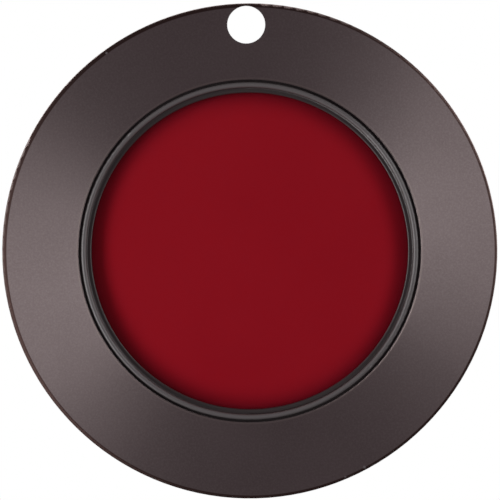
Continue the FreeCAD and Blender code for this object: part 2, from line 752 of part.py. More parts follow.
# ---------------------------------------------------------------- lampholder
def lampholder_body():
    """Porcelain lampholder: an eared base, a round barrel and the socket for the brass shell."""
    barrel = about_bulb((0, SHELF_TOP), (HOLDER_FOOT_R, SHELF_TOP), (HOLDER_FOOT_R, HOLDER_STEP_LOW),
                        (HOLDER_R, HOLDER_STEP_HIGH),
                        *rounded((HOLDER_R, HOLDER_TOP), HOLDER_ROUND, (0, 1), (-1, 0)), (0, HOLDER_TOP))
    base = box(-HOLDER_EAR_HALF, HOLDER_EAR_HALF, BULB_DEPTH - HOLDER_EAR, BULB_DEPTH + HOLDER_EAR,
               SHELF_TOP, SHELF_TOP + HOLDER_EAR_H)
    body = barrel.fuse(base).removeSplitter()
    floor = SHELF_TOP + HOLDER_SEAT
    for y in HOLDER_SCREW_Y:
        body = body.cut(rod(HOLDER_SEAT_R, Vector(0, y, floor), Vector(0, y, HOLDER_TOP)))
        body = body.cut(rod(HOLE_R, Vector(0, y, SHELF_TOP - OVER), Vector(0, y, floor + OVER)))
    body = body.cut(rod(SHELL_R + TOUCH, on_bulb_axis(HOLDER_FLOOR), on_bulb_axis(0)))
    body = body.cut(rod(POST_BORE, on_bulb_axis(HOLDER_FLOOR - POST_DROP), on_bulb_axis(0)))
    mouths = [on_bulb_axis(SHELF_TOP, x) for x in HOLDER_LEAD_X]
    return drilled(body, LEAD_R + 0.1, mouths, Z, HOLDER_LEAD_H, blind=True)


def lampholder_shell():
    """Brass threaded shell, drawn with its thread's rounded turns."""
    inner = SHELL_R - SHELL_WALL
    steps = [(SHELL_R, HOLDER_FLOOR), (SHELL_R, SHELL_TOP), (inner, SHELL_TOP)]
    for turn in range(THREAD_TURNS):
        high = SHELL_TOP - SHELL_LEAD - turn * THREAD_PITCH
        steps.append((inner, high))
        steps.append((inner - THREAD_DEPTH / 2, high - THREAD_PITCH / 4, inner, high - THREAD_PITCH / 2))
    return about_bulb((inner, HOLDER_FLOOR), *steps)


def lampholder_contact():
    """Springy centre contact: a post in the base with a narrower blade on it."""
    foot = HOLDER_FLOOR - POST_DROP
    post = rod(POST_R, on_bulb_axis(foot), on_bulb_axis(foot + POST_H))
    blade = rod(BLADE_R, on_bulb_axis(foot + POST_H), on_bulb_axis(TIP_BOTTOM - BLADE_GAP))
    return post.fuse(blade).removeSplitter()


def lampholder_screws():
    screw = pan_screw(HOLDER_SEAT + SHEET_T + HEAD_OVERLAP)
    return at_each(screw, [Vector(0, y, SHELF_TOP + HOLDER_SEAT) for y in HOLDER_SCREW_Y], Z)


# ---------------------------------------------------------------- bulb
def bulb_envelope(wall, foot):
    """Solid shape of the bulb's outside, drawn in by a wall's thickness, down to a foot."""
    neck = BULB_NECK - wall
    middle = BULB_TOP - BULB_R
    return about_bulb((0, foot), (neck, foot), (neck, CAP_TOP + BULB_WAIST + wall / 2),
                      (SHOULDER_R - wall * 0.9, SHOULDER_Z + wall / 2, BULB_R - wall, middle),
                      dome(BULB_R - wall, middle, BULB_TOP - wall))


def bulb_glass():
    """Hollow envelope of a pygmy lamp, sealed at its foot."""
    return bulb_envelope(0, CAP_TOP - 1.5).cut(bulb_envelope(BULB_WALL, CAP_TOP + 1.0))


def bulb_cap():
    """Threaded metal cap, closed round the insulator at its foot."""
    mouth = BULB_NECK + TOUCH
    inner = CAP_R - THREAD_DEPTH - CAP_WALL
    steps = [(CAP_R - 0.5, CAP_TOP), (CAP_R, CAP_TOP - 0.5)]
    for turn in range(THREAD_TURNS):
        high = CAP_TOP - CAP_SKIRT - turn * THREAD_PITCH
        low = high - THREAD_PITCH / 2
        steps.append((CAP_R, high))
        steps.append((CAP_R - THREAD_DEPTH, high - THREAD_PITCH / 4, CAP_R - TOUCH, low))
    steps.append((CAP_R, low - THREAD_PITCH / 2))
    steps.append((CAP_R, CAP_BOTTOM + CAP_FOOT))
    steps.append((CAP_FOOT_R, CAP_BOTTOM))
    steps.append((CAP_FOOT_R - CAP_WALL, CAP_BOTTOM + CAP_WALL))
    steps.append((inner, CAP_BOTTOM + CAP_FOOT + CAP_WALL))
    steps.append((inner, CAP_TOP - 1.0))
    steps.append((mouth, CAP_TOP - 1.0))
    return about_bulb((mouth, CAP_TOP), *steps)


def bulb_insulator():
    """Black glass plug at the cap's foot, tapered towards the contact."""
    low = CAP_BOTTOM - 1.2
    return about_bulb((0, CAP_BOTTOM + 0.4), (4.8, CAP_BOTTOM + 0.4), (4.8, CAP_BOTTOM),
                      (3.4, CAP_BOTTOM - 1.0), (2.3, low), (0, low))


def bulb_contact():
    low = CAP_BOTTOM - 1.2
    return about_bulb((0, low), (TIP_R, low), dome(TIP_R, low, TIP_BOTTOM))


def bulb_stem():
    """Glass mount that carries the filament's supports: a flared foot, a stalk and a button."""
    foot = CAP_TOP + 1.0
    button = foot + STEM_H - 1.5
    return about_bulb((0, foot), (STEM_R, foot), (2.4, foot + 1.6, STEM_NECK_R, foot + 5), (1.5, button - 1.5),
                      (2.0, button), dome(2.0, button, foot + STEM_H))


def bulb_filament():
    """Two support wires and a filament drawn as a zigzag arch between them."""
    low = CAP_TOP + 9.0
    wires = []
    for side in (-1, 1):
        foot = on_bulb_axis(low, side * 1.75)
        bend = on_bulb_axis(low + 3, side * 2.6)
        end = on_bulb_axis(FILAMENT_Z, side * FILAMENT_HALF)
        wires += [rod(SUPPORT_R, foot, bend), rod(SUPPORT_R, bend, end), Part.makeSphere(SUPPORT_R, bend)]
    points = []
    for i in range(FILAMENT_STEPS + 1):
        share = i / FILAMENT_STEPS
        swing = FILAMENT_SWING * (-1) ** i if 0 < i < FILAMENT_STEPS else 0.0
        height = FILAMENT_Z + FILAMENT_ARCH * math.sin(math.pi * share)
        points.append(on_bulb_axis(height, FILAMENT_HALF * (2 * share - 1)) + Y * swing)
    wires += [rod(FILAMENT_R, a, b) for a, b in zip(points, points[1:])]
    wires += [Part.makeSphere(FILAMENT_R, point) for point in points[1:-1]]
    return wires[0].fuse(wires[1:]).removeSplitter()


# ---------------------------------------------------------------- terminals and leads
def pole_x(index):
    return BLOCK_X + (index - (POLES - 1) / 2) * POLE_PITCH


def chimney_places(height):
    return [Vector(pole_x(index), y, height) for index in range(POLES) for y in CHIMNEY_Y]


def terminal_block():
    """Moulded block under the shelf: a barrel for each pole, with two chimneys down to its screws."""
    y0, y1 = BLOCK_Y
    half = POLES * POLE_PITCH / 2
    web = box(BLOCK_X - half, BLOCK_X + half, y0 + BLOCK_INSET, y1 - BLOCK_INSET, BLOCK_LOW + BLOCK_WEB,
              SHELF_BOTTOM)
    mouths = [Vector(pole_x(index), y0, POLE_Z) for index in range(POLES)]
    barrels = [rod(BARREL_R, mouth, mouth + Y * (y1 - y0)) for mouth in mouths]
    chimneys = [rod(CHIMNEY_R, place, place + Z * (POLE_Z - BLOCK_LOW)) for place in chimney_places(BLOCK_LOW)]
    body = web.fuse(barrels + chimneys).removeSplitter()
    body = drilled(body, BARREL_BORE, mouths, Y, y1 - y0)
    return drilled(body, CHIMNEY_BORE, chimney_places(BLOCK_LOW), Z, POLE_Z - BLOCK_LOW, blind=True)


def terminal_inserts():
    """Brass tubes in the block's barrels."""
    y0 = BLOCK_Y[0] + BLOCK_INSET
    run = BLOCK_Y[1] - BLOCK_INSET - y0
    tubes = []
    for index in range(POLES):
        mouth = Vector(pole_x(index), y0, POLE_Z)
        tube = rod(BARREL_BORE - TOUCH, mouth, mouth + Y * run)
        tube = drilled(tube, INSERT_BORE, [mouth], Y, run)
        places = [Vector(pole_x(index), y, POLE_Z - BARREL_BORE) for y in CHIMNEY_Y]
        tubes.append(drilled(tube, INSERT_TAP, places, Z, BARREL_BORE, blind=True))
    return Part.makeCompound(tubes)


def terminal_screws():
    """Slotted grub screws that close each pole."""
    screw = pin(GRUB_R, GRUB_L, -GRUB_L).fuse(pin(GRUB_HEAD_R, GRUB_HEAD_H)).removeSplitter()
    screw = screw.cut(box(-GRUB_HEAD_R, GRUB_HEAD_R, -0.25, 0.25, GRUB_HEAD_H - 0.5, GRUB_HEAD_H))
    return at_each(screw, chimney_places(POLE_Z - GRUB_DROP), -Z)


def lead_start(pole):
    """Where a lead leaves the block, and the end of its first straight run."""
    inside = Vector(pole_x(pole), BLOCK_Y[1] - LEAD_IN, POLE_Z)
    return [inside, inside + Y * LEAD_RUN]


def holder_end(x, turn):
    """Straight last run of a lead, from its turn up into the lampholder."""
    return [on_bulb_axis(turn, x), on_bulb_axis(SHELF_TOP + LEAD_UP, x)]


def tab_end(index, inward, shift=0.0):
    """Straight run of a lead up to one of the switch's terminals, from inside outwards."""
    start = polar(TAB_INNER - inward, SWITCH_ANGLE, TAB_DEPTHS[index] + shift)
    return [start, polar(TAB_INNER - HEAD_OVERLAP, SWITCH_ANGLE, TAB_DEPTHS[index])]


def lead_neutral():
    """From the block's first pole round under the shelf and up into the lampholder."""
    x = HOLDER_LEAD_X[0]
    return lead(lead_start(0) + [Vector(-18, 53, -58), Vector(-8, 50, -63), Vector(x, 42, -65)]
                + holder_end(x, -60))


def lead_live():
    """From the block's third pole across the wiring space to the switch."""
    return lead(lead_start(2) + [Vector(-2, 51, -60), Vector(12, 49, -64), Vector(26, 46, -62),
                                 Vector(35, 42, -54), Vector(36, 39, -43)] + tab_end(1, 7, 0.5))


def lead_switched():
    """From the switch round the shelf's edge and up into the lampholder."""
    return lead(tab_end(0, 7)[::-1] + [Vector(34.5, 28, -46), Vector(30, 30, -56), Vector(18, 32, -62),
                                       Vector(8, 34, -64)] + holder_end(HOLDER_LEAD_X[1], -58))


def lead_earth():
    """From the block's middle pole to the tag on the chassis leg."""
    y = LEG_FRONT - TAG_BARREL_R
    return lead(lead_start(1) + [Vector(-12, y - 2, POLE_Z), Vector(EARTH_X - 11, y, EARTH_Z),
                                 Vector(EARTH_X - 5, y, EARTH_Z)])


def earth_tag():
    """Ring tag on the chassis leg with a crimped barrel round the lead's end."""
    front = LEG_FRONT - TAG_T
    centre = Vector(EARTH_X, front, EARTH_Z)
    ring = rod(TAG_R, centre, centre + Y * TAG_T)
    tongue = box(EARTH_X - 5, EARTH_X - 2, front, LEG_FRONT, EARTH_Z - TAG_HALF, EARTH_Z + TAG_HALF)
    mouth = Vector(EARTH_X - 9, LEG_FRONT - TAG_BARREL_R, EARTH_Z)
    barrel = rod(TAG_BARREL_R, mouth, mouth + X * 4.6)
    tag = ring.fuse([tongue, barrel]).removeSplitter()
    tag = drilled(tag, LEAD_R + 0.05, [mouth], X, 4.1, blind=True)
    return drilled(tag, HOLE_R, [centre], Y, TAG_T)


def earth_screw():
    return facing(pan_screw(TAG_T + SHEET_T), Vector(EARTH_X, LEG_FRONT - TAG_T, EARTH_Z), -Y)


# ---------------------------------------------------------------- cable gland
def gland_at(height):
    return Vector(0, GLAND_DEPTH, height)


def gland_rod(radius, high, length):
    """Round rod on the gland's axis, down from a height."""
    return rod(radius, gland_at(high), gland_at(high - length))


def gland_washer():
    """Moulded rubber saddle between the gland's flat shoulder and the round drum."""
    saddle = gland_rod(GLAND_WASHER_R, GLAND_TOP, GLAND_TOP - GLAND_SHOULDER).cut(disc(DRUM_OUT, 0, DRUM_BACK))
    return saddle.cut(gland_rod(GLAND_R + DRUM_GAP, GLAND_TOP, GLAND_TOP - GLAND_SHOULDER + OVER))


def gland_body():
    """Threaded tube with a hexagonal shoulder below the drum and a nose for the cap."""
    tube = gland_rod(GLAND_R, GLAND_TOP, GLAND_TOP - GLAND_SHOULDER)
    collar = facing(hex_prism(GLAND_HEX, GLAND_COLLAR), gland_at(GLAND_SHOULDER), -Z)
    nose = gland_rod(GLAND_NOSE_R, GLAND_COLLAR_LOW, GLAND_NOSE)
    body = tube.fuse([collar, nose]).removeSplitter()
    low = GLAND_COLLAR_LOW - GLAND_NOSE
    body = body.cut(gland_rod(GLAND_TUBE_BORE, GLAND_TOP + OVER, GLAND_TOP - low + 2 * OVER))
    return body.cut(gland_rod(GLAND_SOCKET_R, low + GLAND_SOCKET, GLAND_SOCKET + OVER))


def gland_locknut():
    """Thin nut inside the drum, with its outer face cut to the round wall."""
    nut = hex_prism(LOCKNUT_FLATS, LOCKNUT_H).cut(pin(GLAND_R + TOUCH, LOCKNUT_H))
    return facing(nut, gland_at(-DRUM_IN), Z).common(disc(DRUM_IN - DRUM_GAP, 0, DRUM_BACK))


def gland_seal():
    """Rubber sleeve that grips a cord inside the gland."""
    high = GLAND_COLLAR_LOW - SEAL_DROP
    return gland_rod(SEAL_R, high, SEAL_L).cut(gland_rod(GLAND_BORE, high + OVER, SEAL_L + 2 * OVER))


def gland_cap():
    """Domed compression cap with grip flats, screwed over the gland's nose."""
    high = GLAND_COLLAR_LOW - CAP_DROP
    cap = spun((0, 0), (CAP_SHELL_R, 0), (CAP_SHELL_R, CAP_SIDE), CAP_CURVE + (CAP_MOUTH_R, CAP_L), (0, CAP_L))
    cap = cap.common(hex_prism(CAP_FLATS, CAP_L + 2))
    cap = facing(cap, gland_at(high), -Z)
    cap = cap.cut(gland_rod(CAP_SOCKET_R, high + OVER, CAP_SOCKET + OVER))
    return cap.cut(gland_rod(CAP_BORE, high, CAP_L + OVER))


# ---------------------------------------------------------------- switch
def switch_box(x0, x1, inset):
    """Block on the switch's centre, from one distance to another, drawn in on its four sides."""
    long = SWITCH_LONG / 2 - inset
    wide = SWITCH_WIDE / 2 - inset
    return box(x0, x1, SWITCH_DEPTH - long, SWITCH_DEPTH + long, -wide, wide)


def pivot_pin(radius, half):
    return rod(radius, Vector(ROCKER_PIVOT, SWITCH_DEPTH, -half), Vector(ROCKER_PIVOT, SWITCH_DEPTH, half))


def switch_body():
    """Snap-in body with a bezel that lies on the drum and a well for the rocker."""
    bezel = switch_box(DRUM_IN, DRUM_OUT + SWITCH_BEZEL, -SWITCH_BRIM).cut(disc(DRUM_OUT, 0, DRUM_BACK))
    body = switch_box(SWITCH_INNER, DRUM_OUT, 0).fuse(bezel).removeSplitter()
    body = body.cut(switch_box(ROCKER_PIVOT - WELL_DEPTH, DRUM_OUT + 2 * SWITCH_BEZEL, WELL_WALL))
    return turned_up(body.cut(pivot_pin(ROCKER_HOLE_R, SWITCH_WIDE / 2)), SWITCH_ANGLE)


def switch_rocker():
    """Rocker with a shallow V top, leaned to its off side, with the pivot stubs moulded on."""
    long = SWITCH_LONG / 2 - ROCKER_LONG_GAP
    wide = SWITCH_WIDE / 2 - ROCKER_WIDE_GAP
    valley = DRUM_OUT + SWITCH_BEZEL
    top = valley + ROCKER_RISE
    keel = ROCKER_PIVOT - ROCKER_KEEL[0]
    half_keel = ROCKER_KEEL[1]
    corners = [(keel, half_keel), (top - ROCKER_SIDE, long), (top, long), (valley, 0), (top, -long),
               (top - ROCKER_SIDE, -long), (keel, -half_keel), (keel, half_keel)]
    points = [Vector(x, SWITCH_DEPTH + y, -wide) for x, y in corners]
    rocker = Part.Face(Part.makePolygon(points)).extrude(Z * 2 * wide)
    rocker = rocker.fuse(pivot_pin(ROCKER_PIN_R, SWITCH_WIDE / 2 - SWITCH_CLEAR)).removeSplitter()
    rocker.rotate(Vector(ROCKER_PIVOT, SWITCH_DEPTH, 0), Z, -ROCKER_LEAN)
    return turned_up(rocker, SWITCH_ANGLE)


def switch_terminals():
    """Two blade terminals out of the body's back."""
    blades = [box(TAB_INNER, SWITCH_INNER, y - TAB_HALF, y + TAB_HALF, -TAB_T / 2, TAB_T / 2)
              for y in TAB_DEPTHS]
    return turned_up(Part.makeCompound(blades), SWITCH_ANGLE)


NODES = {
    "front_plate": front_plate,
    "filter_cell": filter_cell,
    "cell_screws": cell_screws,
    "retaining_ring": retaining_ring,
    "filter_front_glass": lambda: filter_glass(GLASS_1),
    "filter_gelatin": lambda: disc(DISC_R - BINDING_T, GELATIN, GLASS_2),
    "filter_rear_glass": lambda: filter_glass(GLASS_2),
    "filter_binding": filter_binding,
    "opal_diffuser": opal_diffuser,
    "seat_gasket": seat_gasket,
    "housing_drum": housing_drum,
    "drum_screws": drum_screws,
    "rear_cover": rear_cover,
    "cover_screws": cover_screws,
    "clamp_ring": clamp_ring,
    "clinch_nuts": clinch_nuts,
    "vent_cap": vent_cap,
    "vent_spacers": vent_spacers,
    "vent_screws": vent_screws,
    "vent_nuts": vent_nuts,
    "wall_bumpers": wall_bumpers,
    "bumper_rivets": bumper_rivets,
    "reflector": reflector,
    "reflector_pillars": reflector_pillars,
    "reflector_screws": reflector_screws,
    "chassis": chassis,
    "chassis_screws": chassis_screws,
    "chassis_nuts": chassis_nuts,
    "lampholder_body": lampholder_body,
    "lampholder_shell": lampholder_shell,
    "lampholder_contact": lampholder_contact,
    "lampholder_screws": lampholder_screws,
    "bulb_glass": bulb_glass,
    "bulb_cap": bulb_cap,
    "bulb_insulator": bulb_insulator,
    "bulb_contact": bulb_contact,
    "bulb_stem": bulb_stem,
    "bulb_filament": bulb_filament,
    "terminal_block": terminal_block,
    "terminal_inserts": terminal_inserts,
    "terminal_screws": terminal_screws,
    "lead_live": lead_live,
    "lead_switched": lead_switched,
    "lead_neutral": lead_neutral,
    "lead_earth": lead_earth,
    "earth_tag": earth_tag,
    "earth_screw": earth_screw,
    "gland_body": gland_body,
    "gland_washer": gland_washer,
    "gland_locknut": gland_locknut,
    "gland_seal": gland_seal,
    "gland_cap": gland_cap,
    "switch_body": switch_body,
    "switch_rocker": switch_rocker,
    "switch_terminals": switch_terminals,
}

os.makedirs("parts", exist_ok=True)
for node, make in NODES.items():
    save(node, make())
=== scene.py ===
import math

import bpy
from mathutils import Matrix, Vector


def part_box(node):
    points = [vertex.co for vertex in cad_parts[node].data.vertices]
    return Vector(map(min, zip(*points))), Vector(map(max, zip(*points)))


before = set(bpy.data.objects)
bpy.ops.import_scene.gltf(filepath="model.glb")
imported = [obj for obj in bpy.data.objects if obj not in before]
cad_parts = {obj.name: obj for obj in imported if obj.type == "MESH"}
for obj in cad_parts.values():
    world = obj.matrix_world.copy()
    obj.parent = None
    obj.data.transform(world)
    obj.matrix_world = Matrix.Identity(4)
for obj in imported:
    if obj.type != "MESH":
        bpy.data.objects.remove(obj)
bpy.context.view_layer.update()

MM = 0.001


def rgb(r, g, b):
    return (r, g, b, 1.0)


# ------------------------------------------------------------------ places, from the frame
plate_low, plate_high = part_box("front_plate")
AXIS_X = (plate_low.x + plate_high.x) / 2
AXIS_Z = (plate_low.z + plate_high.z) / 2
FRONT = plate_low.y
PLATE_R = (plate_high.x - plate_low.x) / 2
RECESS_EDGE_R = 70.8 * MM        # rounded edge of the recess, lightened with a painted highlight
EDGE_HIGHLIGHT_CORE = 0.1 * MM             # the painted highlight is full within this distance of that edge
EDGE_HIGHLIGHT_FADE = 0.5 * MM             # and gone by this one
EDGE_HIGHLIGHT_SHARE = 0.8
EDGE_SHADE_START_R = 54 * MM           # painted shade: the filter darkens from here, as in the shadow of its recess
EDGE_SHADE_END_R = 66 * MM             # to here, and faster towards the end
EDGE_SHADE_CURVE = 2.0
RIM_SHADE_WIDTH = 1.65 * MM            # rounded rim, painted darker and browner as shade
RIM_SHADE_FULL = 0.8                   # share of that width where the painted rim shade is at its full depth
RIM_SHADE_SHIFT_X = 0.3 * MM           # the painted rim shade is a little wider on the upper left
RIM_SHADE_SHIFT_Z = -0.2 * MM
BACK_START = 1.2 * MM            # depth over which the plate's front finish gives way to its plainer back
BACK_END = 1.8 * MM
BLOOM_AND_SHEEN_FULL = 0.7 * MM            # the rubber's grey bloom and painted highlight on the crest are full down to this depth
BLOOM_AND_SHEEN_GONE = 2.0 * MM            # and gone below this one
CHIPS = (                        # small chips near the rim: degrees round, distance out, size
    (297, 100.4 * MM, 0.9 * MM),
    (292, 100.6 * MM, 0.6 * MM),
    (125, 100.2 * MM, 0.7 * MM),
)

# ------------------------------------------------------------------ colours of the front
PLATE_DARK = rgb(0.228, 0.186, 0.186)
PLATE_LIGHT = rgb(0.248, 0.203, 0.203)
PLATE_GRAIN = rgb(0.31, 0.265, 0.265)
PLATE_BACK = rgb(0.125, 0.110, 0.110)
# painted highlight for the rounded recess edge
EDGE_HIGHLIGHT_COLOUR = rgb(0.31, 0.26, 0.25)
# painted shade for the rounded rim
RIM_SHADE_BROWN = rgb(0.090, 0.056, 0.051)
CHIP_BARE = rgb(0.42, 0.40, 0.40)
RUBBER = rgb(0.020, 0.013, 0.013)
RUBBER_DUST = rgb(0.05, 0.040, 0.038)
# grey bloom with painted highlight for the bead's crest
BLOOM_AND_SHEEN_DARK = rgb(0.082, 0.074, 0.075)
BLOOM_AND_SHEEN_LIGHT = rgb(0.102, 0.094, 0.095)
FILTER_DARK = rgb(0.298, 0.0070, 0.0150)
FILTER_LIGHT = rgb(0.312, 0.0080, 0.0162)
# painted shade for the filter's edge
FILTER_EDGE_SHADE = rgb(0.110, 0.0028, 0.0085)

# ------------------------------------------------------------------ the set
CAMERA_DISTANCE = 1.6
FRAME_MARGIN = 1.0090            # picture's width over the plate's
CAMERA_ROLL = 0.9                # degrees; the lamp hangs that far out of true
CAMERA_OFF_X = 0.09 * MM
CAMERA_OFF_Z = 0.37 * MM
SENSOR = 36.0
LIGHT_DISTANCE = 1.3
STRIP_ANGLE = 61                 # degrees off the lamp's axis, for both strips in front
STRIP_WIDE = 0.30
STRIP_TALL = 1.40
STRIPS = (                       # name, degrees round the axis, watts
    ("left_strip", 189, 15.6),
    ("right_strip", 14, 9.0),
)
REAR_LIGHTS = (                  # name, direction from the lamp, width, height, watts
    ("rear_left", (-0.9, 1.0, 0.5), 0.5, 0.9, 42.0),
    ("rear_right", (1.0, 0.6, 0.3), 0.4, 0.9, 26.0),
    ("rear_top", (0.0, 0.7, 1.0), 0.9, 0.5, 24.0),
)
FLOOR_Z = -0.9
FLOOR_R = 0.6
FLOOR_SIDES = 192
WORLD_FILL = 0.14
FILL_TINT = rgb(1.0, 0.80, 0.88)  # leans to rose, as the shadows on the plate do
BACKDROP = rgb(1.0, 1.0, 1.0)


def link(obj):
    bpy.context.scene.collection.objects.link(obj)
    return obj


def make_camera():
    data = bpy.data.cameras.new("camera")
    data.sensor_width = SENSOR
    data.lens = SENSOR * CAMERA_DISTANCE / (2 * PLATE_R * FRAME_MARGIN)
    camera = link(bpy.data.objects.new("camera", data))
    camera.location = (AXIS_X + CAMERA_OFF_X, FRONT - CAMERA_DISTANCE, AXIS_Z + CAMERA_OFF_Z)
    camera.rotation_mode = "QUATERNION"
    upright = Matrix.Rotation(math.radians(90), 3, "X")
    roll = Matrix.Rotation(math.radians(CAMERA_ROLL), 3, "Y")
    camera.rotation_quaternion = (roll @ upright).to_quaternion()
    bpy.context.scene.camera = camera


def off_axis(azimuth, angle):
    """Direction at an angle off the lamp's optical axis, round it from the right towards the top."""
    a = math.radians(azimuth)
    t = math.radians(angle)
    return Vector((math.sin(t) * math.cos(a), -math.cos(t), math.sin(t) * math.sin(a)))


def soft_light(name, direction, wide, tall, power):
    """Rectangular softbox that faces the lamp from a direction."""
    data = bpy.data.lights.new(name, "AREA")
    data.shape = "RECTANGLE"
    data.size = wide
    data.size_y = tall
    data.energy = power
    box = link(bpy.data.objects.new(name, data))
    box.location = Vector((AXIS_X, FRONT, AXIS_Z)) + direction.normalized() * LIGHT_DISTANCE
    box.rotation_euler = (-direction).to_track_quat("-Z", "Y").to_euler()
    box.visible_camera = False


def make_lights():
    for name, azimuth, power in STRIPS:
        soft_light(name, off_axis(azimuth, STRIP_ANGLE), STRIP_WIDE, STRIP_TALL, power)
    for name, direction, wide, tall, power in REAR_LIGHTS:
        soft_light(name, Vector(direction), wide, tall, power)


def make_world():
    """White where the camera sees past the lamp, and a weak even fill for everything else."""
    world = bpy.data.worlds.new("studio")
    bpy.context.scene.world = world
    world.use_nodes = True
    tree = world.node_tree
    tree.nodes.clear()
    output = tree.nodes.new("ShaderNodeOutputWorld")
    path = tree.nodes.new("ShaderNodeLightPath")
    mix = tree.nodes.new("ShaderNodeMixShader")
    tree.links.new(path.outputs["Is Camera Ray"], mix.inputs[0])
    for socket, colour, strength in ((1, FILL_TINT, WORLD_FILL), (2, BACKDROP, 1.0)):
        background = tree.nodes.new("ShaderNodeBackground")
        background.inputs["Color"].default_value = colour
        background.inputs["Strength"].default_value = strength
        tree.links.new(background.outputs[0], mix.inputs[socket])
    tree.links.new(mix.outputs[0], output.inputs[0])


# ------------------------------------------------------------------ material helpers
class Surface:
    """A material's nodes, with short calls for what the finishes share. Sizes are in metres."""

    def __init__(self, name):
        self.material = bpy.data.materials.new(name)
        self.material.use_nodes = True
        self.tree = self.material.node_tree
        self.tree.nodes.clear()
        output = self.tree.nodes.new("ShaderNodeOutputMaterial")
        self.shader = self.tree.nodes.new("ShaderNodeBsdfPrincipled")
        self.tree.links.new(self.shader.outputs[0], output.inputs[0])
        self.place = self.tree.nodes.new("ShaderNodeTexCoord").outputs["Object"]

    def fill(self, socket, value):
        if isinstance(value, bpy.types.NodeSocket):
            self.tree.links.new(value, socket)
        else:
            socket.default_value = value

    def node(self, kind, inputs, **settings):
        made = self.tree.nodes.new(kind)
        for key, value in settings.items():
            setattr(made, key, value)
        for key, value in inputs.items():
            self.fill(made.inputs[key], value)
        return made

    def set(self, **values):
        for key, value in values.items():
            self.fill(self.shader.inputs[key.replace("_", " ")], value)
        return self.material

    def noise(self, size, detail=3.0, distortion=0.0):
        return self.node("ShaderNodeTexNoise", {"Vector": self.place, "Scale": 1 / size, "Detail": detail,
                                                "Distortion": distortion}).outputs["Fac"]

    def cells(self, size, output="Distance"):
        return self.node("ShaderNodeTexVoronoi", {"Vector": self.place, "Scale": 1 / size}).outputs[output]

    def maths(self, operation, a, b=0.0):
        return self.node("ShaderNodeMath", {0: a, 1: b}, operation=operation).outputs[0]

    def ramp(self, value, low, high, to_low=0.0, to_high=1.0, kind="SMOOTHSTEP"):
        """Maps a value from one range to another, held at both ends."""
        return self.node("ShaderNodeMapRange",
                         {"Value": value, "From Min": low, "From Max": high, "To Min": to_low,
                          "To Max": to_high}, interpolation_type=kind).outputs[0]

    def blend(self, share, a, b):
        return self.node("ShaderNodeMix", {0: share, 6: a, 7: b}, data_type="RGBA").outputs[2]

    def bump(self, height, depth, under=None):
        """Raises the surface by a depth where the height is 1."""
        inputs = {"Height": height, "Distance": depth}
        if under is not None:
            inputs["Normal"] = under
        return self.node("ShaderNodeBump", inputs).outputs[0]

    def distance_from(self, x, z):
        """Distance from a line along Y."""
        parts = self.node("ShaderNodeSeparateXYZ", {0: self.place}).outputs
        dx = self.maths("SUBTRACT", parts[0], x)
        dz = self.maths("SUBTRACT", parts[2], z)
        return self.maths("SQRT", self.maths("ADD", self.maths("MULTIPLY", dx, dx),
                                             self.maths("MULTIPLY", dz, dz)))

    def depth(self):
        """Distance behind the plate's front face."""
        parts = self.node("ShaderNodeSeparateXYZ", {0: self.place}).outputs
        return self.maths("SUBTRACT", parts[1], FRONT)


def shaded(colour, factor):
    return tuple(min(1.0, c * factor) for c in colour[:3]) + (1.0,)


def finish(name, colour, roughness, metallic=0.0, grain=0.4 * MM, depth=0.004 * MM, vary=0.1, **more):
    """Plain finish: a fine grain in its relief and gloss, and a slow drift in its colour."""
    s = Surface(name)
    fine = s.noise(grain)
    drift = s.ramp(s.noise(12 * MM), 0.3, 0.7)
    base = s.blend(drift, shaded(colour, 1 - vary), shaded(colour, 1 + vary))
    return s.set(Base_Color=base, Metallic=metallic, Normal=s.bump(fine, depth),
                 Roughness=s.ramp(fine, 0.2, 0.8, roughness - 0.05, roughness + 0.05), **more)


# ------------------------------------------------------------------ front of the lamp
def chip(s, azimuth, radius, size):
    """1 inside a small ragged chip near the rim."""
    a = math.radians(azimuth)
    away = s.distance_from(AXIS_X + radius * math.cos(a), AXIS_Z + radius * math.sin(a))
    ragged = s.maths("ADD", away, s.ramp(s.noise(0.5 * MM), 0.2, 0.8, -0.3 * size, 0.3 * size))
    return s.ramp(ragged, 0.5 * size, 0.8 * size, 1.0, 0.0)


